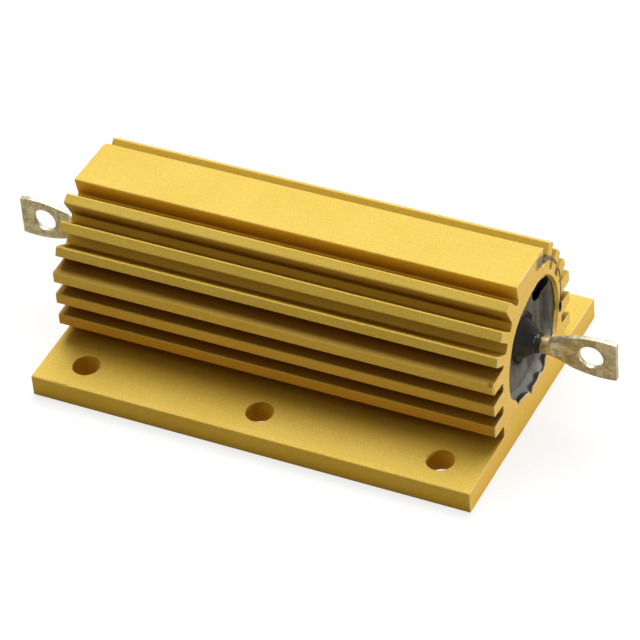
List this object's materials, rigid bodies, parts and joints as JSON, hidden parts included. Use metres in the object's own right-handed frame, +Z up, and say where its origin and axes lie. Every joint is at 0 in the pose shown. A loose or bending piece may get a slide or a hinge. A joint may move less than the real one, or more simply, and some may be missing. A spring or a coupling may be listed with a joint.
{
  "type": "aluminium housed power resistor",
  "caption": "Wirewound power resistor in a finned, gold anodised aluminium extrusion with a drilled mounting flange and a flat lug terminal at each end.",
  "frame": {"origin": "centre of the flange's underside, under the middle of the housing", "axes": "+X along the extrusion, from one terminal to the other; +Y across the flange; +Z up from the mounting face"},
  "size_m": [0.1502, 0.0724, 0.0418],
  "materials": {
    "gold_anodised": "satin gold anodised, worn bright at the edges",
    "filling_compound": "matt moulded cement",
    "steatite": "unglazed",
    "resistance_alloy": "drawn wire",
    "ferrule_steel": "pressed",
    "tinned_terminal": "dull tinned, mottled",
    "end_cap_moulding": "satin moulding with flow streaks"
  },
  "bodies": {
    "root": {"housing": "gold_anodised", "filling": "filling_compound", "ceramic_core": "steatite", "resistance_wire": "resistance_alloy", "ferrule_left": "ferrule_steel", "ferrule_right": "ferrule_steel", "terminal_left": "tinned_terminal", "terminal_right": "tinned_terminal", "end_cap_left": "end_cap_moulding", "end_cap_right": "end_cap_moulding"}
  },
  "joints": []
}
